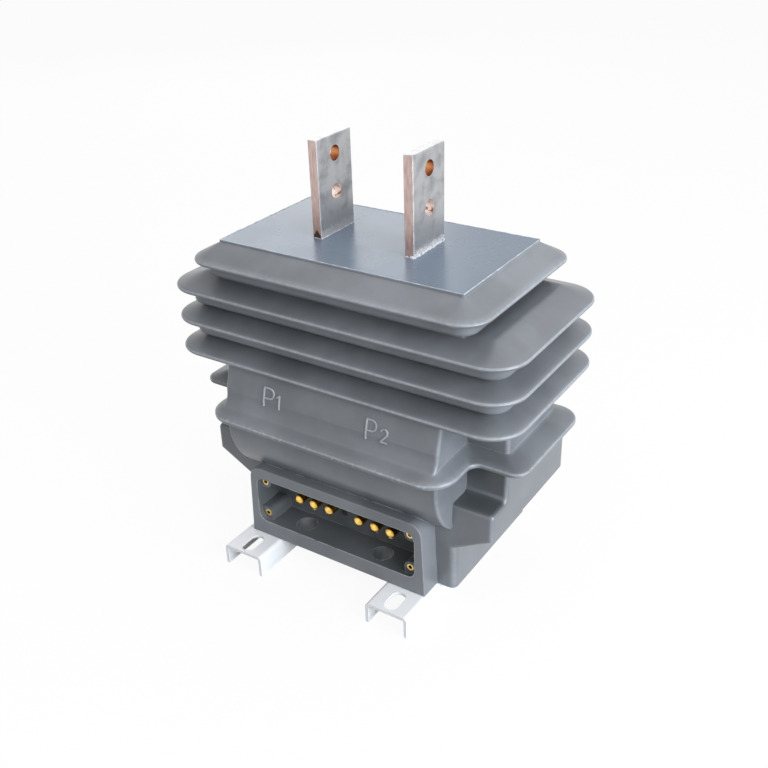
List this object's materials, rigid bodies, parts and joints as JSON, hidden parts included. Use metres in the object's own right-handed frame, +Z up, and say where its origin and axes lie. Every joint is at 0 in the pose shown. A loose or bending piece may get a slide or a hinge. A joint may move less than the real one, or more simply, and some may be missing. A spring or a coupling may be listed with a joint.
{
  "type": "outdoor current transformer",
  "caption": "Outdoor cast-resin current transformer with sheds, two flat bar primary terminals, an open secondary terminal box and two channel feet.",
  "frame": {"origin": "on the ground plane under the middle of the sheds, midway between the ends of the feet", "axes": "+X from terminal P1 to terminal P2, -Y towards the terminal box, +Z up"},
  "size_m": [0.38, 0.267, 0.43],
  "materials": {
    "resin": "cast epoxy resin, satin grey with a glossy top plate",
    "tinned_copper": "tin-plated copper, smudged, bare copper at its cut edges",
    "bare_copper": "bare copper, cast in",
    "core_steel": "wound silicon steel strip, cast in",
    "winding": "enamelled copper wire, cast in",
    "lead": "insulated copper wire, cast in",
    "brass": "turned brass, bright",
    "white_paint": "white powder paint on folded steel",
    "bush_steel": "turned steel",
    "zinc_steel": "zinc-plated steel"
  },
  "bodies": {
    "root": {"base_bush_1": "bush_steel", "base_bush_2": "bush_steel", "base_bush_3": "bush_steel", "base_bush_4": "bush_steel", "base_screw_1": "zinc_steel", "base_screw_2": "zinc_steel", "base_screw_3": "zinc_steel", "base_screw_4": "zinc_steel", "base_washer_1": "zinc_steel", "base_washer_2": "zinc_steel", "base_washer_3": "zinc_steel", "base_washer_4": "zinc_steel", "channel_left": "white_paint", "channel_right": "white_paint", "cover_insert_1": "brass", "cover_insert_2": "brass", "cover_insert_3": "brass", "cover_insert_4": "brass", "measuring_core": "core_steel", "measuring_winding": "winding", "primary_bar_p1": "tinned_copper", "primary_bar_p2": "tinned_copper", "primary_winding": "bare_copper", "protection_core": "core_steel", "protection_winding": "winding", "resin_body": "resin", "secondary_lead_1": "lead", "secondary_lead_2": "lead", "secondary_lead_3": "lead", "secondary_lead_4": "lead", "secondary_lead_5": "lead", "secondary_lead_6": "lead", "secondary_stud_1": "brass", "secondary_stud_2": "brass", "secondary_stud_3": "brass", "secondary_stud_4": "brass", "secondary_stud_5": "brass", "secondary_stud_6": "brass"}
  },
  "joints": []
}
